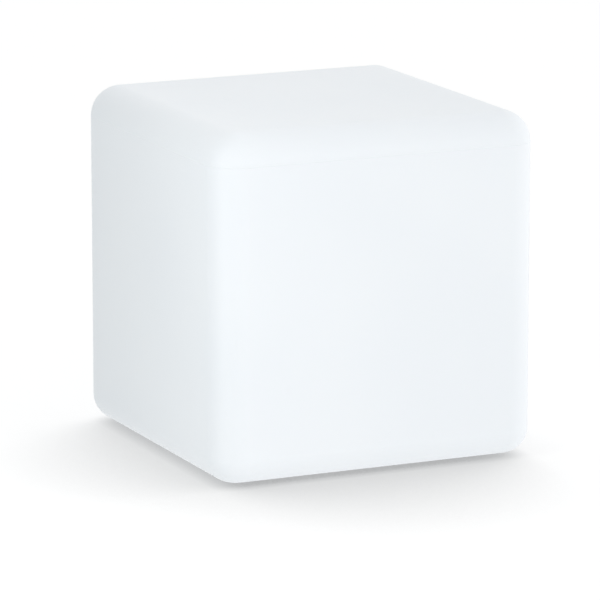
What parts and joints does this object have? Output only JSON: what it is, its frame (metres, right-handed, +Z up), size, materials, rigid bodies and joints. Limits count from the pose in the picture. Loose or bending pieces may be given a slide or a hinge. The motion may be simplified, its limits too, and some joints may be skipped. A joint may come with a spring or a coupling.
{
  "type": "led cube light",
  "caption": "Cordless cube light: a hollow white rounded cube lit from a sealed lamp unit in its underside, with a push button, charging socket and rubber feet.",
  "frame": {"origin": "on the floor, under the centre of the cube, where the feet's undersides lie", "axes": "+Z up, out of the cube's top face; -Y is the front face, the larger one in the picture; +X is to its right"},
  "size_m": [0.4006, 0.4006, 0.4025],
  "materials": {
    "white_polyethylene": "fine rotomoulded texture, translucent white",
    "brass": "machined",
    "screw_steel": "zinc plated",
    "white_abs": "fine texture",
    "black_rubber": "matt",
    "grey_foam": "matt",
    "opal_diffuser": "opal, satin",
    "board_metal": "white solder mask on aluminium",
    "lamp_body": "white body with yellow phosphor",
    "green_board": "green solder mask on glass fibre",
    "chip_black": "matt",
    "coil_grey": "matt",
    "header_white": "satin",
    "switch_black": "satin",
    "indicator_clear": "clear",
    "cell_wrap": "plain plastic wrap over metal can",
    "clear_sleeve": "heat-shrunk film",
    "nickel": "nickel strip",
    "clamp_steel": "zinc plated",
    "button_grey": "matt",
    "spring_steel": "drawn wire",
    "socket_black": "satin",
    "clear_acrylic": "clear, polished",
    "lead_red_black": "soft insulation"
  },
  "bodies": {
    "cube": {"shell": "white_polyethylene", "threaded_inserts": "brass", "foot_screws": "screw_steel", "base_tray": "white_abs", "base_seal": "black_rubber", "unit_screws": "screw_steel", "diffuser_dome": "opal_diffuser", "dome_seal": "black_rubber", "light_board": "board_metal", "leds": "lamp_body", "light_board_screws": "screw_steel", "control_board": "green_board", "control_screws": "screw_steel", "driver_chips": "chip_black", "coil_and_capacitors": "coil_grey", "board_headers": "header_white", "switch_body": "switch_black", "indicator_led": "indicator_clear", "battery_cells": "cell_wrap", "battery_sleeve": "clear_sleeve", "battery_tabs": "nickel", "protection_board": "green_board", "battery_pad": "grey_foam", "battery_clamp": "clamp_steel", "clamp_screws": "screw_steel", "button_spring": "spring_steel", "button_retainer": "white_abs", "charge_socket": "socket_black", "socket_contacts": "nickel", "socket_nut": "clamp_steel", "cap_anchor": "black_rubber", "light_pipe": "clear_acrylic", "lead_plugs": "header_white", "battery_leads": "lead_red_black", "charge_leads": "lead_red_black", "light_leads": "lead_red_black", "foot_front_left": "black_rubber", "foot_front_right": "black_rubber", "foot_rear_left": "black_rubber", "foot_rear_right": "black_rubber"},
    "button": {"power_button": "button_grey", "button_seal": "black_rubber", "switch_plunger": "switch_black"},
    "port_cap": {"port_cap": "black_rubber"}
  },
  "joints": [
    {"name": "button_press", "type": "slide", "parent": "cube", "child": "button", "axis": [0, 0, 1], "range_m": [0, 0.0015], "stiffness_N_per_m": 400, "springref_m": -0.004, "deforming": ["button_spring"]},
    {"name": "port_cap_swing", "type": "hinge", "parent": "cube", "child": "port_cap", "pos_m": [0.0265, 0.026, 0.00514], "axis": [0, -1, 0], "range_deg": [0, 140]}
  ]
}
